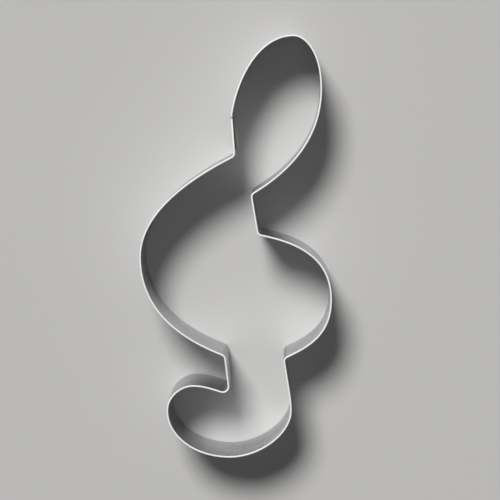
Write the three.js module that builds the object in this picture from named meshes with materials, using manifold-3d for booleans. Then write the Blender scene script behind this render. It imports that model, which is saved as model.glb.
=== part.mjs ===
// Cookie cutter in the outline of a treble clef.
// One strip of thin stainless steel stands on edge, is bent to the outline, and is closed
// into a ring by a lap on the left side of the upper loop. Spot welds hold the lap.
// Millimetres. +X is to the right and +Y to the top of the clef, seen from above.
// The strip stands on z = 0, and the origin lies under the middle of the outline.

import * as THREE from 'three';
import { mergeVertices } from 'three/addons/utils/BufferGeometryUtils.js';
import ManifoldModule from 'manifold-3d';

// Over all, outside the strip: from the top of the loop to the foot of the tail, and across the belly.
const CUTTER_LENGTH = 110;
const CUTTER_WIDTH = 50;

// Strip stock: a plain flat strip with its sheared long edges just broken.
const STRIP_THICKNESS = 0.45;
const STRIP_DEPTH = 22;
const EDGE_BREAK = 0.06;

// Radius of the tight bends, to the middle of the strip.
const BEND_RADIUS = 1.3;
const HOOK_BEND_RADIUS = 1.5;

// Lap: the end that comes down from the loop is notched to a narrower tongue, which steps inwards and
// runs behind the other end. The seam opening shows in both rims, from the notch to the outer end.
const LAP_LENGTH = 8;
const LAP_GAP = 0.1;
const JOGGLE_LENGTH = 1;
const NOTCH_DEPTH = 3;
const SEAM_OPENING = 0.6;

// Spot welds: discs of fused metal through both layers, dished by the electrodes. The edge distance
// runs from an edge of the tongue to the middle of the nearest weld.
const WELD_NAMES = ['spot_weld_low', 'spot_weld_middle', 'spot_weld_high'];
const WELD_DIAMETER = 3;
const WELD_EDGE_DISTANCE = 3;
const WELD_DISH = 0.08;
const WELD_CLEARANCE = 0.1;

// Facets: the most that a flat facet may stand off the curve that it follows.
const FACET_SAG = 0.012;
const WELD_SIDES = 24;
const DISH_RINGS = 3;

// The outline, as the middle line of the strip in plan, from the outer end of the lap round the
// belly, the tail hook and the loop, and back to the lap. Directions are in degrees, 0 along +X and
// 90 along +Y. A smooth point has one heading. A bend is a sharp corner that a radius rounds off, with
// a direction to arrive in and one to leave in. Where it gives none, that side of it is straight.
// The reach is how far the curve before or after a point holds on to its direction.
const HALF_LENGTH = (CUTTER_LENGTH - STRIP_THICKNESS) / 2;
const HALF_WIDTH = (CUTTER_WIDTH - STRIP_THICKNESS) / 2;
const LAP_END = { x: -0.9, y: 33.4 };
const NECK_LEFT = { x: -0.2, y: 23.8, radius: BEND_RADIUS, leave: direction(207), reachOut: 11.3 };
const BELLY_LEFT = { x: -HALF_WIDTH, y: -2.6, heading: direction(270), reachIn: 12, reachOut: 14.2 };
const WAIST_LEFT = { x: -2.9, y: -28.2, radius: BEND_RADIUS, arrive: direction(338.5), reachIn: 10.6 };
const HOOK_ROOT = { x: -1.6, y: -38.4, radius: HOOK_BEND_RADIUS, leave: direction(162), reachOut: 3 };
const HOOK_TOP = { x: -11.1, y: -36.1, heading: direction(180), reachIn: 2.5, reachOut: 3.5 };
const HOOK_LEFT = { x: -17.9, y: -42.6, heading: direction(270), reachIn: 3.5, reachOut: 6.8 };
const TAIL_LOW = { x: -1.7, y: -HALF_LENGTH, heading: direction(0), reachIn: 9, reachOut: 8 };
const TAIL_RIGHT = { x: 14.3, y: -42.6, heading: direction(90), reachIn: 6, reachOut: 3 };
const WAIST_RIGHT = {
  x: 12.5, y: -28.9, radius: BEND_RADIUS,
  arrive: direction(98.5), reachIn: 4, leave: direction(25.5), reachOut: 6.5,
};
const BELLY_RIGHT = { x: HALF_WIDTH, y: -13.5, heading: direction(90), reachIn: 9, reachOut: 10.4 };
const NECK_LOW = { x: 5.8, y: 3.4, radius: BEND_RADIUS, arrive: direction(168.5), reachIn: 10.6 };
const NECK_HIGH = { x: 4.1, y: 13.8, radius: BEND_RADIUS, leave: direction(31.5), reachOut: 12.5 };
const LOOP_RIGHT = { x: 22.2, y: 41.4, heading: direction(90), reachIn: 12, reachOut: 9 };
const LOOP_TOP = { x: 15.1, y: HALF_LENGTH, heading: direction(180), reachIn: 3, reachOut: 8.7 };
const LOOP_FOOT = { heading: direction(261), reachIn: 10.2 };

const OUTLINE = [
  NECK_LEFT, BELLY_LEFT, WAIST_LEFT, HOOK_ROOT, HOOK_TOP, HOOK_LEFT, TAIL_LOW, TAIL_RIGHT,
  WAIST_RIGHT, BELLY_RIGHT, NECK_LOW, NECK_HIGH, LOOP_RIGHT, LOOP_TOP,
];

const wasm = await ManifoldModule();
wasm.setup();

function direction(degrees) {
  const angle = THREE.MathUtils.degToRad(degrees);
  return new THREE.Vector2(Math.cos(angle), Math.sin(angle));
}

function leftOf(vector) {
  return new THREE.Vector2(-vector.y, vector.x);
}

function place(point) {
  return new THREE.Vector2(point.x, point.y);
}

function towards(from, to) {
  return place(to).sub(place(from)).normalize();
}

// The flank that carries the lap: a straight side from the outer end down to the first bend.
const flankStart = place(LAP_END);
const flankDirection = towards(LAP_END, NECK_LEFT);
const layerStep = STRIP_THICKNESS + LAP_GAP;

// Gives every point of the outline its arriving and leaving direction, and a bend its arc,
// which starts and ends one tangent length from the corner.
function settle(point, before, after) {
  const arrive = point.arrive ?? point.heading ?? towards(before, point);
  const leave = point.leave ?? point.heading ?? towards(point, after);
  const settled = { ...point, arrive, leave, entry: place(point), exit: place(point), arc: null };
  if (!point.radius) return settled;

  const turn = Math.atan2(arrive.cross(leave), arrive.dot(leave));
  const tangentLength = point.radius * Math.tan(Math.abs(turn) / 2);
  settled.entry.addScaledVector(arrive, -tangentLength);
  settled.exit.addScaledVector(leave, tangentLength);

  const towardsCentre = leftOf(arrive).multiplyScalar(Math.sign(turn) * point.radius);
  const centre = settled.entry.clone().add(towardsCentre);
  const startAngle = settled.entry.clone().sub(centre).angle();
  settled.arc = new THREE.ArcCurve(
    centre.x, centre.y, point.radius, startAngle, startAngle + turn, turn < 0,
  );
  return settled;
}

// A side of the outline: straight between two points that give no reach, and otherwise a curve.
function sideBetween(from, to) {
  if (!from.reachOut && !to.reachIn) return new THREE.LineCurve(from.exit, to.entry);
  return new THREE.CubicBezierCurve(
    from.exit,
    from.exit.clone().addScaledVector(from.leave, from.reachOut),
    to.entry.clone().addScaledVector(to.arrive, -to.reachIn),
    to.entry,
  );
}

// All curves of the middle line in order, from the outer end of the lap to the inner end.
function middleLine() {
  const start = { ...LAP_END, leave: flankDirection, exit: flankStart };
  const footPlace = flankStart.clone().addScaledVector(flankDirection, -JOGGLE_LENGTH);
  const foot = { ...LOOP_FOOT, arrive: LOOP_FOOT.heading, entry: footPlace };

  const points = OUTLINE.map((point, i) => {
    return settle(point, OUTLINE[i - 1] ?? LAP_END, OUTLINE[i + 1] ?? footPlace);
  });

  const curves = [];
  let last = start;
  for (const point of points) {
    curves.push(sideBetween(last, point));
    if (point.arc) curves.push(point.arc);
    last = point;
  }
  curves.push(sideBetween(last, foot));

  const innerStart = flankStart.clone().addScaledVector(leftOf(flankDirection), layerStep);
  const innerEnd = innerStart.clone().addScaledVector(flankDirection, LAP_LENGTH);
  const joggleReach = JOGGLE_LENGTH / 2;
  curves.push(new THREE.CubicBezierCurve(
    footPlace,
    footPlace.clone().addScaledVector(LOOP_FOOT.heading, joggleReach),
    innerStart.clone().addScaledVector(flankDirection, -joggleReach),
    innerStart,
  ));
  curves.push(new THREE.LineCurve(innerStart, innerEnd));
  return curves;
}

// Parameters at which a curve is cut into facets, after its start: each stretch is halved
// until its quarter points stand off the chord by less than the facet sag.
function facetEnds(curve, from = 0, to = 1) {
  const start = curve.getPoint(from);
  const chord = curve.getPoint(to).sub(start);
  const isFlat = [0.25, 0.5, 0.75].every((share) => {
    const offset = curve.getPoint(THREE.MathUtils.lerp(from, to, share)).sub(start);
    return Math.abs(chord.cross(offset)) <= FACET_SAG * chord.length();
  });
  if (isFlat) return [to];

  const middle = (from + to) / 2;
  return [...facetEnds(curve, from, middle), ...facetEnds(curve, middle, to)];
}

// The strip in plan: the middle line set off by half the thickness to each side.
function stripShape() {
  const outerFace = [];
  const innerFace = [];
  const addStation = (curve, t) => {
    const middle = curve.getPoint(t);
    const inwards = leftOf(curve.getTangent(t)).multiplyScalar(STRIP_THICKNESS / 2);
    outerFace.push(middle.clone().sub(inwards));
    innerFace.push(middle.clone().add(inwards));
  };

  const curves = middleLine();
  addStation(curves[0], 0);
  for (const curve of curves) {
    for (const t of facetEnds(curve)) addStation(curve, t);
  }
  return new THREE.Shape([...outerFace, ...innerFace.reverse()]);
}

function toSolid(geometry) {
  const bare = geometry.clone();
  bare.deleteAttribute('normal');
  bare.deleteAttribute('uv');
  const merged = mergeVertices(bare);
  return new wasm.Manifold(new wasm.Mesh({
    numProp: 3,
    vertProperties: new Float32Array(merged.attributes.position.array),
    triVerts: new Uint32Array(merged.index.array),
  }));
}

function toGeometry(solid) {
  const mesh = solid.getMesh();
  const geometry = new THREE.BufferGeometry();
  geometry.setAttribute('position', new THREE.BufferAttribute(mesh.vertProperties, 3));
  geometry.setIndex(new THREE.BufferAttribute(mesh.triVerts, 1));
  geometry.computeVertexNormals();
  return geometry;
}

// The lap's own frame: X down the flank, Y through the layers to the inside, Z up,
// with its origin in the middle of the lap, on the middle line of the outer layer.
function lapFrame() {
  const frame = new THREE.Group();
  const middle = flankStart.clone().addScaledVector(flankDirection, LAP_LENGTH / 2);
  frame.position.set(middle.x, middle.y, 0);
  frame.rotation.z = flankDirection.angle();
  frame.updateMatrixWorld();
  return frame;
}

// Notch in one rim of the inner end, in the lap's frame and centred on that rim. Beside the outer layer
// it is cut from the inner layer alone, and from the outer end up to its shoulder right through the strip.
function notchGeometry() {
  const shoulder = -LAP_LENGTH / 2 - SEAM_OPENING;
  const besideOuterEnd = -LAP_LENGTH / 2 - LAP_GAP / 2;
  const pastInnerEnd = LAP_LENGTH / 2 + STRIP_THICKNESS;
  const outside = -STRIP_THICKNESS;
  const betweenLayers = layerStep / 2;
  const inside = layerStep + STRIP_THICKNESS;
  const plan = new THREE.Shape([
    new THREE.Vector2(shoulder, outside),
    new THREE.Vector2(besideOuterEnd, outside),
    new THREE.Vector2(besideOuterEnd, betweenLayers),
    new THREE.Vector2(pastInnerEnd, betweenLayers),
    new THREE.Vector2(pastInnerEnd, inside),
    new THREE.Vector2(shoulder, inside),
  ]);
  const notch = new THREE.ExtrudeGeometry(plan, { depth: 2 * NOTCH_DEPTH, bevelEnabled: false });
  notch.translate(0, 0, -NOTCH_DEPTH);
  return notch;
}

const WELD_FROM = -STRIP_THICKNESS / 2;
const WELD_TO = layerStep + STRIP_THICKNESS / 2;

function weldHeight(i) {
  const lowest = NOTCH_DEPTH + WELD_EDGE_DISTANCE;
  const spacing = (STRIP_DEPTH - 2 * lowest) / (WELD_NAMES.length - 1);
  return lowest + i * spacing;
}

// Hole for a weld through both layers, a clearance wider than the weld.
function weldHole(i) {
  const radius = WELD_DIAMETER / 2 + WELD_CLEARANCE;
  const margin = STRIP_THICKNESS;
  const length = WELD_TO - WELD_FROM + 2 * margin;
  const hole = new THREE.CylinderGeometry(radius, radius, length, WELD_SIDES);
  hole.translate(0, (WELD_FROM + WELD_TO) / 2, weldHeight(i));
  return hole;
}

// The fused disc, turned about the axis through the layers, with a shallow dish in each face.
function weldGeometry() {
  const radius = WELD_DIAMETER / 2;
  const lowFace = [];
  const highFace = [];
  for (let ring = 0; ring <= DISH_RINGS; ring += 1) {
    const share = ring / DISH_RINGS;
    const dish = WELD_DISH * (1 - share * share);
    lowFace.push(new THREE.Vector2(radius * share, WELD_FROM + dish));
    highFace.push(new THREE.Vector2(radius * share, WELD_TO - dish));
  }
  return new THREE.LatheGeometry([...lowFace, ...highFace.reverse()], WELD_SIDES);
}

const stripSteel = new THREE.MeshStandardMaterial({
  name: 'bright rolled stainless steel', color: 0xc8cacc, metalness: 1, roughness: 0.2,
});

const weldSteel = new THREE.MeshStandardMaterial({
  name: 'fused steel of a spot weld', color: 0xa9a29a, metalness: 1, roughness: 0.45,
});

function bandMesh(lap) {
  const strip = new THREE.ExtrudeGeometry(stripShape(), {
    depth: STRIP_DEPTH - 2 * EDGE_BREAK,
    bevelThickness: EDGE_BREAK,
    bevelSize: EDGE_BREAK,
    bevelOffset: -EDGE_BREAK,
    bevelSegments: 1,
  });
  strip.translate(0, 0, EDGE_BREAK);

  const cuts = [
    notchGeometry(),
    notchGeometry().translate(0, 0, STRIP_DEPTH),
    ...WELD_NAMES.map((name, i) => weldHole(i)),
  ];
  let band = toSolid(strip);
  for (const cut of cuts) band = band.subtract(toSolid(cut.applyMatrix4(lap.matrixWorld)));
  const mesh = new THREE.Mesh(toGeometry(band), stripSteel);
  mesh.name = 'cutter_band';
  return mesh;
}

function weldMesh(name, i) {
  const mesh = new THREE.Mesh(weldGeometry(), weldSteel);
  mesh.name = name;
  mesh.position.z = weldHeight(i);
  return mesh;
}

const cutter = new THREE.Group();
const lap = lapFrame();
cutter.add(bandMesh(lap));
WELD_NAMES.forEach((name, i) => lap.add(weldMesh(name, i)));
cutter.add(lap);

export default cutter;
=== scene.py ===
import math

import bpy
from mathutils import Matrix, Vector


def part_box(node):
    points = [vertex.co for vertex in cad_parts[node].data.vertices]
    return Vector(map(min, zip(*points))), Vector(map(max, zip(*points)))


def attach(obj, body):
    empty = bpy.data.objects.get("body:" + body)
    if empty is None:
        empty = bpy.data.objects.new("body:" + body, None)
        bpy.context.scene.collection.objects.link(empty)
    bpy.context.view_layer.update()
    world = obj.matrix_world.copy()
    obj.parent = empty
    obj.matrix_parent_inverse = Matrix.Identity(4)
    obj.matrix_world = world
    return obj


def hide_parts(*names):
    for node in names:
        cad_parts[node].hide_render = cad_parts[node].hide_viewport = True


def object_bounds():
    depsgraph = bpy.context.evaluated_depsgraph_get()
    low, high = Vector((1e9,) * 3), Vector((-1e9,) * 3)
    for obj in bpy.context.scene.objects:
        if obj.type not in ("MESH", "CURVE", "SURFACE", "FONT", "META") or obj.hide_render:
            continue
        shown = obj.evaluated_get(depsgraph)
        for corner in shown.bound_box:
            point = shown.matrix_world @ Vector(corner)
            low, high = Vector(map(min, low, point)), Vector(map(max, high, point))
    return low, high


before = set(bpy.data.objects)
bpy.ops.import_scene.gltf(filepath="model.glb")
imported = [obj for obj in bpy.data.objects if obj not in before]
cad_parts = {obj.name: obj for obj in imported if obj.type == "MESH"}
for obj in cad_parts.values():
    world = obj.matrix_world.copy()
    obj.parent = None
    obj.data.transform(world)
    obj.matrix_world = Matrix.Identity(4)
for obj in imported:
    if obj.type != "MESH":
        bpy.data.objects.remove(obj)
cad_low, cad_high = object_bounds()

# The strip.
# One ribbon of bright stainless steel, sheared from rolled sheet, bent on edge to a clef, with lapped ends.
# Its walls keep the fine lines of the rolls and some haze from use, and its cut edges are finely torn.
MM = 0.001
SAME_POINT = 0.001 * MM
FLAT_TURN = math.radians(0.3)
SHORT_EDGE = 0.06 * MM

strip = bpy.data.objects.new("strip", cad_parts["cutter_band"].data.copy())
bpy.context.scene.collection.objects.link(strip)
strip_height = cad_high.z - cad_low.z

bpy.ops.object.select_all(action="DESELECT")
strip.select_set(True)
bpy.context.view_layer.objects.active = strip
bpy.ops.mesh.customdata_custom_splitnormals_clear()
bpy.ops.object.mode_set(mode="EDIT")
bpy.ops.mesh.select_mode(type="EDGE")
bpy.ops.mesh.select_all(action="SELECT")
bpy.ops.mesh.remove_doubles(threshold=SAME_POINT)
bpy.ops.mesh.dissolve_limited(angle_limit=FLAT_TURN)
bpy.ops.mesh.dissolve_degenerate(threshold=SHORT_EDGE)

# Deburring leaves the two rims slightly crowned. Each rim is set back by the height of its crown, and its
# flat land is then raised again towards the middle, in steps of inset and rise.
RIM_BAND = 0.1 * MM
LEVEL_FACE = 0.99
CROWN_STEPS = [(0.05 * MM, 0.018 * MM), (0.045 * MM, 0.009 * MM), (0.04 * MM, 0.003 * MM)]

crown_height = sum(rise for inset, rise in CROWN_STEPS)


def select_faces(is_wanted):
    bpy.ops.mesh.select_all(action="DESELECT")
    bpy.ops.object.mode_set(mode="OBJECT")
    for face in strip.data.polygons:
        face.select = is_wanted(face)
    bpy.ops.object.mode_set(mode="EDIT")


bpy.ops.mesh.select_mode(type="FACE")
for level, side in ((cad_low.z, -1), (cad_high.z, 1)):
    select_faces(lambda face: abs(face.center.z - level) < RIM_BAND)
    bpy.ops.transform.translate(value=(0, 0, -side * crown_height))
    select_faces(lambda face: abs(face.center.z - level) < RIM_BAND and face.normal.z * side > LEVEL_FACE)
    for inset, rise in CROWN_STEPS:
        bpy.ops.mesh.inset(thickness=inset, depth=rise, use_even_offset=False)

# The edges that are still sharp are only just rounded.
SHARP_TURN = math.radians(40)
EDGE_ROUNDING = 0.02 * MM
ROUNDING_STEPS = 2

bpy.ops.mesh.select_mode(type="EDGE")
bpy.ops.mesh.select_all(action="DESELECT")
bpy.ops.mesh.edges_select_sharp(sharpness=SHARP_TURN)
bpy.ops.mesh.bevel(offset=EDGE_ROUNDING, segments=ROUNDING_STEPS, affect="EDGES")

# Level rows divide the walls, so that they can take the slight waves of a strip formed round pegs.
EDGE_ROW = 0.4 * MM
WALL_ROWS = 10

row_pitch = (strip_height - 2 * EDGE_ROW) / WALL_ROWS
for row in range(WALL_ROWS + 1):
    bpy.ops.mesh.select_all(action="SELECT")
    bpy.ops.mesh.bisect(plane_co=(0, 0, EDGE_ROW + row * row_pitch), plane_no=(0, 0, 1))
bpy.ops.object.mode_set(mode="OBJECT")

# The waves leave out the lap, which lies flat, and die out at the outermost sides.
WAVE_LENGTH = 16 * MM
WAVE_HEIGHT = 0.1 * MM
LAP_REACH = 7 * MM
SIDE_REACH = 2 * MM
FREE_WALLS = "free_walls"
WELD_NAMES = ["spot_weld_low", "spot_weld_middle", "spot_weld_high"]

weld_centres = [sum(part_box(name), Vector()) / 2 for name in WELD_NAMES]
lap_middle = weld_centres[0].to_2d()


def from_lap(place):
    return (place.to_2d() - lap_middle).length


free_walls = strip.vertex_groups.new(name=FREE_WALLS)
for vertex in strip.data.vertices:
    to_sides = min(*(vertex.co - cad_low).to_2d(), *(cad_high - vertex.co).to_2d())
    freedom = max(0, min(1, from_lap(vertex.co) / LAP_REACH - 1, to_sides / SIDE_REACH))
    free_walls.add([vertex.index], freedom, "REPLACE")

waves = bpy.data.textures.new("forming_waves", "CLOUDS")
waves.noise_scale = WAVE_LENGTH
for axis in ("X", "Y"):
    wave = strip.modifiers.new("wave_" + axis, "DISPLACE")
    wave.texture = waves
    wave.texture_coords = "LOCAL"
    wave.direction = axis
    wave.strength = WAVE_HEIGHT
    wave.vertex_group = FREE_WALLS
    bpy.ops.object.modifier_apply(modifier=wave.name)

# The straight flanks stay flat up to their bends, and the narrow facets of a bend take all of its turn.
SMOOTH_TURN = math.radians(30)

bpy.ops.object.shade_smooth_by_angle(angle=SMOOTH_TURN)
flat_flanks = strip.modifiers.new("flat_flanks", "WEIGHTED_NORMAL")
flat_flanks.keep_sharp = True
bpy.ops.object.modifier_apply(modifier=flat_flanks.name)

# Where the wall turns tightly from one upright face to the next, it was drawn round a forming edge.
# The tightness is the angle of the turn over the width of wall that takes it.
UPRIGHT_EDGE = 0.95
CORNER_TURN = math.radians(25)
BEND_FROM = 0.25 / MM
BEND_FULL = 0.6 / MM
BEND = "bend"

bend = strip.data.attributes.new(BEND, "FLOAT", "POINT")
faces_beside = {}
for face in strip.data.polygons:
    for edge in face.edge_keys:
        faces_beside.setdefault(edge, []).append(face)


def tightness(edge, faces):
    low, high = (strip.data.vertices[i].co for i in edge)
    length = (high - low).length
    if len(faces) != 2 or abs(high.z - low.z) <= UPRIGHT_EDGE * length:
        return 0
    turn = faces[0].normal.angle(faces[1].normal)
    width = (faces[0].area + faces[1].area) / 2 / length
    return turn / width if turn < CORNER_TURN else 0


for edge, faces in faces_beside.items():
    share = (tightness(edge, faces) - BEND_FROM) / (BEND_FULL - BEND_FROM)
    for i in edge:
        bend.data[i].value = max(bend.data[i].value, min(1, share))


def start_steel(name):
    material = bpy.data.materials.new(name)
    material.use_nodes = True
    tree = material.node_tree
    shader = tree.nodes["Principled BSDF"]
    shader.inputs["Metallic"].default_value = 1
    place = tree.nodes.new("ShaderNodeTexCoord").outputs["Object"]
    return material, tree, shader, place


def add_noise(tree, place, cells, detail):
    mapping = tree.nodes.new("ShaderNodeMapping")
    mapping.inputs["Scale"].default_value = cells
    noise = tree.nodes.new("ShaderNodeTexNoise")
    noise.inputs["Scale"].default_value = 1
    noise.inputs["Detail"].default_value = detail
    tree.links.new(place, mapping.inputs["Vector"])
    tree.links.new(mapping.outputs["Vector"], noise.inputs["Vector"])
    return noise.outputs["Fac"]


def add_range(tree, value, span, target):
    spread = tree.nodes.new("ShaderNodeMapRange")
    spread.inputs["From Min"].default_value, spread.inputs["From Max"].default_value = span
    spread.inputs["To Min"].default_value, spread.inputs["To Max"].default_value = target
    tree.links.new(value, spread.inputs["Value"])
    return spread.outputs["Result"]


def add_math(tree, operation, first, second):
    step = tree.nodes.new("ShaderNodeMath")
    step.operation = operation
    tree.links.new(first, step.inputs[0])
    tree.links.new(second, step.inputs[1])
    return step.outputs["Value"]


def add_mix(tree, share, first, second):
    mix = tree.nodes.new("ShaderNodeMix")
    mix.data_type = "RGBA"
    tree.links.new(share, mix.inputs["Factor"])
    for name, colour in (("A", first), ("B", second)):
        socket = next(s for s in mix.inputs if s.name == name and s.type == "RGBA")
        if isinstance(colour, tuple):
            socket.default_value = (*colour, 1)
        else:
            tree.links.new(colour, socket)
    return next(s for s in mix.outputs if s.type == "RGBA")


def add_bump(tree, shader, height, depth):
    bump = tree.nodes.new("ShaderNodeBump")
    bump.inputs["Strength"].default_value = 1
    bump.inputs["Distance"].default_value = depth
    tree.links.new(height, bump.inputs["Height"])
    tree.links.new(bump.outputs["Normal"], shader.inputs["Normal"])


def from_nearest_weld(tree, place):
    nearest = None
    for centre in weld_centres:
        distance = tree.nodes.new("ShaderNodeVectorMath")
        distance.operation = "DISTANCE"
        distance.inputs[1].default_value = centre
        tree.links.new(place, distance.inputs[0])
        value = distance.outputs["Value"]
        nearest = value if nearest is None else add_math(tree, "MINIMUM", nearest, value)
    return nearest


# The walls have level lines from the rolls, patches of haze, upright drag marks, streaks where a bend was
# drawn, and a straw tint round the welds. A pattern's size is its count of cells in a metre along each axis.
NOISE_SPAN = (0.3, 0.7)
ROLL_LINES = (60, 60, 2600)
LINE_TONES = [(0.53, 0.54, 0.555), (0.60, 0.605, 0.61)]
LINE_ROUGHNESS = (0.13, 0.25)
LINE_DEPTH = 0.004 * MM
HAZE_PATCHES = (55, 55, 75)
HAZE_TONE = (0.5, 0.5, 0.49)
HAZE_TONE_SPAN = (0.5, 0.7)
HAZE_STRENGTH = 0.5
HAZE_ROUGHNESS_SPAN = (0.45, 0.75)
HAZE_ROUGHNESS = 0.14
DRAG_MARKS = (1400, 1400, 30)
DRAG_SPAN = (0.6, 0.8)
DRAG_ROUGHNESS = 0.1
DRAWN_STREAKS = (4000, 4000, 40)
DRAWN_TONE = (0.44, 0.445, 0.45)
DRAWN_ROUGHNESS = 0.3
HEAT_TONE = (0.47, 0.41, 0.31)
HEAT_REACH = (1.6 * MM, 2.6 * MM)
HEAT_STRENGTH = 0.5
GRAZING_TONE = (0.78, 0.78, 0.79, 1)


def rolled_face():
    material, tree, shader, place = start_steel("rolled_face")
    lines = add_noise(tree, place, ROLL_LINES, detail=5)
    haze = add_noise(tree, place, HAZE_PATCHES, detail=4)
    drag = add_noise(tree, place, DRAG_MARKS, detail=3)
    streaks = add_noise(tree, place, DRAWN_STREAKS, detail=2)
    stretch = tree.nodes.new("ShaderNodeAttribute")
    stretch.attribute_name = BEND
    drawn = add_math(tree, "MULTIPLY", stretch.outputs["Fac"], streaks)
    hazed = add_range(tree, haze, HAZE_TONE_SPAN, (0, HAZE_STRENGTH))
    heated = add_range(tree, from_nearest_weld(tree, place), HEAT_REACH, (HEAT_STRENGTH, 0))

    tone = add_mix(tree, lines, *LINE_TONES)
    for share, colour in ((hazed, HAZE_TONE), (heated, HEAT_TONE), (drawn, DRAWN_TONE)):
        tone = add_mix(tree, share, tone, colour)
    tree.links.new(tone, shader.inputs["Base Color"])
    shader.inputs["Specular Tint"].default_value = GRAZING_TONE

    roughness = add_range(tree, lines, NOISE_SPAN, LINE_ROUGHNESS)
    smeared = add_range(tree, haze, HAZE_ROUGHNESS_SPAN, (0, HAZE_ROUGHNESS))
    scuffed = add_range(tree, drag, DRAG_SPAN, (0, DRAG_ROUGHNESS))
    matted = add_range(tree, drawn, (0, 1), (0, DRAWN_ROUGHNESS))
    for rise in (smeared, scuffed, matted):
        roughness = add_math(tree, "ADD", roughness, rise)
    tree.links.new(roughness, shader.inputs["Roughness"])
    add_bump(tree, shader, lines, LINE_DEPTH)
    return material


# A sheared edge is finely torn. The two rims are bright. The strip's ends and the edges of its tongue
# are painted dark, as painted shade for the shadow of the lap that they sit in.
TEARS = (9000, 9000, 9000)
TEAR_SPAN = (0.35, 0.65)
TEAR_DEPTH = 0.006 * MM
WORN_PATCHES = (130, 130, 130)
WORN_ROUGHNESS = (0.7, 0.78)
RIM_TONES = [(0.74, 0.74, 0.74), (0.82, 0.817, 0.81)]
# The tongue's tones are painted shade, much darker than the rims, as if in the shadow of the outer layer.
TONGUE_PAINTED_SHADE_TONES = [(0.17, 0.16, 0.145), (0.32, 0.305, 0.28)]


def cut_edge(name, tones):
    material, tree, shader, place = start_steel(name)
    tears = add_noise(tree, place, TEARS, detail=3)
    worn = add_noise(tree, place, WORN_PATCHES, detail=3)
    torn = add_range(tree, tears, TEAR_SPAN, (0, 1))
    tree.links.new(add_mix(tree, torn, *tones), shader.inputs["Base Color"])
    tree.links.new(add_range(tree, worn, NOISE_SPAN, WORN_ROUGHNESS), shader.inputs["Roughness"])
    add_bump(tree, shader, tears, TEAR_DEPTH)
    return material


# A cut face is told by its normal. On a rim or in a notch it turns up or down, and at the strip's ends it
# turns away from the axis of the welds, which goes square through the lap.
CUT_FACE_TILT = 0.35
WELD_SIDE_TILT = 0.5
WALL, RIM, TONGUE = range(3)

weld_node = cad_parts[WELD_NAMES[0]]
weld_side = [face for face in weld_node.data.polygons if face.normal.x > WELD_SIDE_TILT]
weld_axis = sum((face.normal * face.area for face in weld_side), Vector()).normalized()


def finish_of(face):
    to_rim = min(face.center.z - cad_low.z, cad_high.z - face.center.z)
    if abs(face.normal.z) > CUT_FACE_TILT:
        return RIM if to_rim < EDGE_ROW else TONGUE
    is_at_end = abs(face.normal.dot(weld_axis)) < CUT_FACE_TILT
    return TONGUE if is_at_end and from_lap(face.center) < LAP_REACH else WALL


strip.data.materials.clear()
strip.data.materials.append(rolled_face())
strip.data.materials.append(cut_edge("sheared_edge", RIM_TONES))
# The tongue's edges and the strip's ends by the lap take the painted shade.
strip.data.materials.append(cut_edge("tongue_edge_painted_shade", TONGUE_PAINTED_SHADE_TONES))
for face in strip.data.polygons:
    face.material_index = finish_of(face)
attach(strip, "root")
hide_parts("cutter_band")

# The spot welds.
# Three discs of metal fused through both layers of the lap by round electrodes, which leave a dish on each
# side with a low ring of pushed-up metal round it. The heat turns the steel dull, blue and straw-coloured.
WELD_STEPS = 48
RING_RADIUS = 1.7
DISH_PROFILE = [(0, -0.07), (0.5, -0.068), (0.95, -0.055), (1.25, -0.02), (1.42, 0.02)]
RING_PROFILE = [(1.52, 0.03), (1.62, 0.022), (RING_RADIUS, 0.004), (RING_RADIUS, 0.002), (1.55, 0.002)]

# The profiles are millimetres from the axis and above the wall, from the middle of the dish outwards.
along_axis = [vertex.co.dot(weld_axis) for vertex in weld_node.data.vertices]
half_lap = (max(along_axis) - min(along_axis)) / 2
half_profile = [(r * MM, half_lap + h * MM) for r, h in DISH_PROFILE + RING_PROFILE]
weld_profile = half_profile + [(r, -h) for r, h in reversed(half_profile)]

bpy.ops.object.select_all(action="DESELECT")
bpy.ops.mesh.primitive_plane_add(size=MM)
weld = bpy.context.object
bpy.ops.object.mode_set(mode="EDIT")
bpy.ops.mesh.select_mode(type="VERT")
bpy.ops.mesh.merge(type="CENTER")
bpy.ops.transform.translate(value=(weld_profile[0][0], 0, weld_profile[0][1]))
for (r, h), (next_r, next_h) in zip(weld_profile, weld_profile[1:]):
    step = (next_r - r, 0, next_h - h)
    bpy.ops.mesh.extrude_vertices_move(TRANSFORM_OT_translate={"value": step})
bpy.ops.mesh.select_all(action="SELECT")
bpy.ops.mesh.spin(steps=WELD_STEPS, angle=2 * math.pi, center=(0, 0, 0), axis=(0, 0, 1))
bpy.ops.mesh.select_all(action="SELECT")
bpy.ops.mesh.remove_doubles(threshold=SAME_POINT)
bpy.ops.mesh.normals_make_consistent(inside=False)
bpy.ops.object.mode_set(mode="OBJECT")
bpy.ops.object.shade_smooth_by_angle(angle=SMOOTH_TURN)

# The tempering colours lie in rings with ragged borders, each at its share of the ring's radius.
TEMPER_TINTS = [(0.0, (0.50, 0.495, 0.49)), (0.5, (0.45, 0.445, 0.44)), (0.72, (0.37, 0.375, 0.40)),
                (0.86, (0.46, 0.41, 0.32)), (1.0, (0.53, 0.51, 0.47))]
RAGGED_BORDERS = (900, 900, 900)
RAGGED_REACH = 0.25
PITS = (3500, 3500, 3500)
PIT_ROUGHNESS = (0.3, 0.5)
PIT_DEPTH = 0.01 * MM
FROM_AXIS = "from_axis"

from_axis = weld.data.attributes.new(FROM_AXIS, "FLOAT", "POINT")
for vertex in weld.data.vertices:
    from_axis.data[vertex.index].value = vertex.co.to_2d().length / MM


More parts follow.
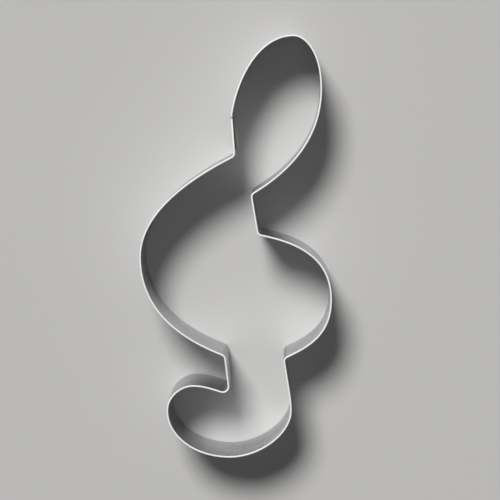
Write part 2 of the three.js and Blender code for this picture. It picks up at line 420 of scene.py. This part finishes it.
def fused_steel():
    material, tree, shader, place = start_steel("fused_steel")
    radius = tree.nodes.new("ShaderNodeAttribute")
    radius.attribute_name = FROM_AXIS
    ragged = add_noise(tree, place, RAGGED_BORDERS, detail=3)
    shift = add_range(tree, ragged, NOISE_SPAN, (-RAGGED_REACH, RAGGED_REACH))
    ring = add_math(tree, "ADD", radius.outputs["Fac"], shift)
    tint = tree.nodes.new("ShaderNodeValToRGB")
    stops = tint.color_ramp.elements
    while len(stops) < len(TEMPER_TINTS):
        stops.new(1)
    for stop, (position, colour) in zip(stops, TEMPER_TINTS):
        stop.position = position
        stop.color = (*colour, 1)
    tree.links.new(add_range(tree, ring, (0, RING_RADIUS), (0, 1)), tint.inputs["Fac"])
    tree.links.new(tint.outputs["Color"], shader.inputs["Base Color"])
    pits = add_noise(tree, place, PITS, detail=4)
    tree.links.new(add_range(tree, pits, NOISE_SPAN, PIT_ROUGHNESS), shader.inputs["Roughness"])
    add_bump(tree, shader, pits, PIT_DEPTH)
    return material


weld.data.materials.append(fused_steel())
to_weld_axis = weld_axis.to_track_quat("Z", "Y").to_matrix().to_4x4()
for name, centre in zip(WELD_NAMES, weld_centres):
    copy = bpy.data.objects.new("fused_" + name, weld.data.copy())
    copy.data.transform(Matrix.Translation(centre) @ to_weld_axis)
    bpy.context.scene.collection.objects.link(copy)
    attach(copy, "root")
    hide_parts(name)
bpy.data.objects.remove(weld)

# The floor.
# A plain pale matt sheet for the cutter to stand on, wide enough to fill every view.
# It is no part of the cutter.
FLOOR_SIZE = 8
FLOOR_COLOUR = (0.56, 0.553, 0.545, 1)
FLOOR_ROUGHNESS = 0.7

bpy.ops.object.select_all(action="DESELECT")
bpy.ops.mesh.primitive_plane_add(size=FLOOR_SIZE, location=(0, 0, 0))
floor = bpy.context.object
floor.name = "floor"
pale_floor = bpy.data.materials.new("pale_floor")
pale_floor.use_nodes = True
floor_shader = pale_floor.node_tree.nodes["Principled BSDF"]
floor_shader.inputs["Base Color"].default_value = FLOOR_COLOUR
floor_shader.inputs["Roughness"].default_value = FLOOR_ROUGHNESS
floor.data.materials.append(pale_floor)

# The light.
# A soft key from the top left throws the shadow down and to the right, and the pale room fills it in.
# The room looks brighter in the camera and in the steel than the fill that it gives.
KEY_DIRECTION = Vector((-0.25, 0.62, 1))
KEY_ANGLE = math.radians(19)
KEY_STRENGTH = 2.9
ROOM_FILL = 0.07
ROOM_BACKDROP = 0.5

key = bpy.data.objects.new("key", bpy.data.lights.new("key", "SUN"))
key.data.energy = KEY_STRENGTH
key.data.angle = KEY_ANGLE
key.rotation_mode = "QUATERNION"
key.rotation_quaternion = KEY_DIRECTION.to_track_quat("Z", "Y")
bpy.context.scene.collection.objects.link(key)

room = bpy.data.worlds.new("pale_room")
room.use_nodes = True
bpy.context.scene.world = room
room_tree = room.node_tree
background = room_tree.nodes["Background"]
background.inputs["Color"].default_value = (1, 1, 1, 1)
ray = room_tree.nodes.new("ShaderNodeLightPath")
seen = add_math(room_tree, "ADD", ray.outputs["Is Camera Ray"], ray.outputs["Is Glossy Ray"])
seen = add_math(room_tree, "ADD", seen, ray.outputs["Is Transmission Ray"])
strength = add_range(room_tree, seen, (0, 1), (ROOM_FILL, ROOM_BACKDROP))
room_tree.links.new(strength, background.inputs["Strength"])

# The camera.
# It hangs over the loop, almost straight above, and looks back a little towards the tail.
# The middle of the picture lies a little right of and below the cutter's own middle.
CAMERA_DISTANCE = 600 * MM
LEAN_TO_LOOP = math.radians(4.9)
LEAN_TO_RIGHT = math.radians(1.1)
ROLL = math.radians(-0.12)
PICTURE_MIDDLE = Vector((3.76 * MM, -0.55 * MM, strip_height))
VIEW_WIDTH_AT_RIM = 129.5 * MM

camera = bpy.data.objects.new("camera", bpy.data.cameras.new("camera"))
camera.rotation_euler = (-LEAN_TO_LOOP, LEAN_TO_RIGHT, ROLL)
back_to_camera = camera.rotation_euler.to_matrix() @ Vector((0, 0, CAMERA_DISTANCE))
camera.location = PICTURE_MIDDLE + back_to_camera
camera.data.lens = camera.data.sensor_width * CAMERA_DISTANCE / VIEW_WIDTH_AT_RIM
bpy.context.scene.collection.objects.link(camera)
bpy.context.scene.camera = camera
bpy.context.scene.view_settings.view_transform = "Standard"
